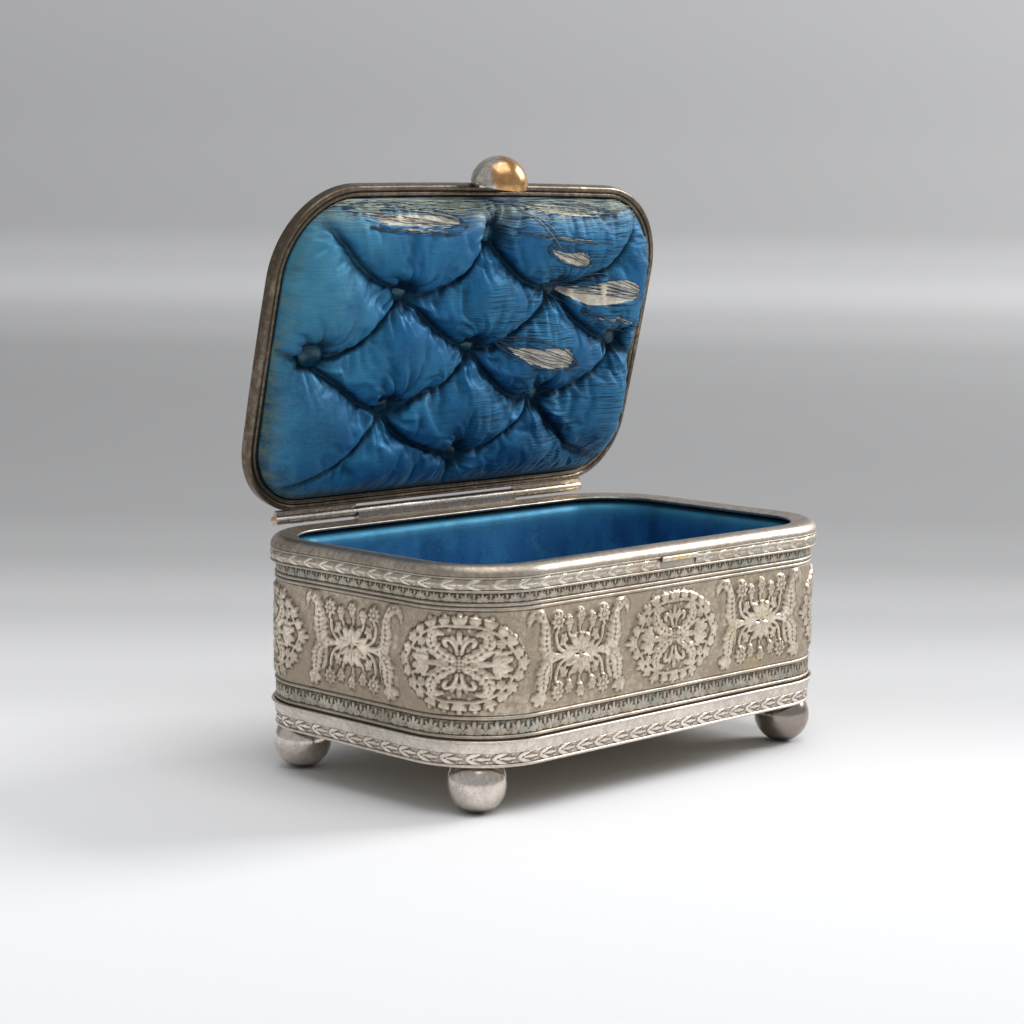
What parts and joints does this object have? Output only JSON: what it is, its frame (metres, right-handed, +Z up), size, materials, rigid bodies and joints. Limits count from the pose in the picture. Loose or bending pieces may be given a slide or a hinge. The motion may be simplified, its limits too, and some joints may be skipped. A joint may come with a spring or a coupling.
{
  "type": "trinket box",
  "caption": "Small rounded-rectangle metal casket on ball feet, with a stamped relief wall, a satin lining and a hinged lid that holds a tufted satin cushion and a half-ball snap knob.",
  "frame": {"origin": "on the table, under the middle of the body, between the four ball feet", "axes": "+X along the long side, +Y towards the hinge, +Z up; the catch is at -Y"},
  "size_m": [0.1432, 0.0937, 0.1594],
  "materials": {
    "silver_plate": "tarnished silver plate on brass",
    "worn_plate": "silver plate worn through to the brass",
    "floor_metal": "dull tarnished",
    "steel": "dull",
    "pin_metal": "worn bright",
    "card": "plain millboard",
    "lining_satin": "deep blue satin",
    "lid_satin": "faded peacock blue satin",
    "wadding": "cotton wadding",
    "thread": "waxed thread"
  },
  "bodies": {
    "box": {"body_shell": "silver_plate", "floor_plate": "floor_metal", "base_gallery": "silver_plate", "rim_band": "silver_plate", "rim_ledge": "silver_plate", "catch_bar": "worn_plate", "hinge_knuckle_body": "silver_plate", "foot_collars": "floor_metal", "foot_studs": "steel", "foot_nuts": "floor_metal", "lining_wall_card": "card", "lining_wall_pad": "lining_satin", "lining_floor_card": "card", "lining_floor_pad": "lining_satin", "ball_foot_front_left": "silver_plate", "ball_foot_front_right": "silver_plate", "ball_foot_back_left": "silver_plate", "ball_foot_back_right": "silver_plate"},
    "lid": {"lid_shell": "silver_plate", "lid_frame": "silver_plate", "lid_knob": "worn_plate", "knob_plate": "silver_plate", "hinge_knuckle_left": "silver_plate", "hinge_knuckle_right": "silver_plate", "hinge_pin": "pin_metal", "lid_board": "card", "lid_wadding": "wadding", "lid_pad": "lid_satin", "tuft_buttons": "lid_satin", "tuft_ties": "thread"}
  },
  "joints": [
    {"name": "lid_hinge", "type": "hinge", "parent": "box", "child": "lid", "pos_m": [0, 0.0452, 0.06362], "axis": [1, 0, 0], "range_deg": [-28, 77]}
  ]
}
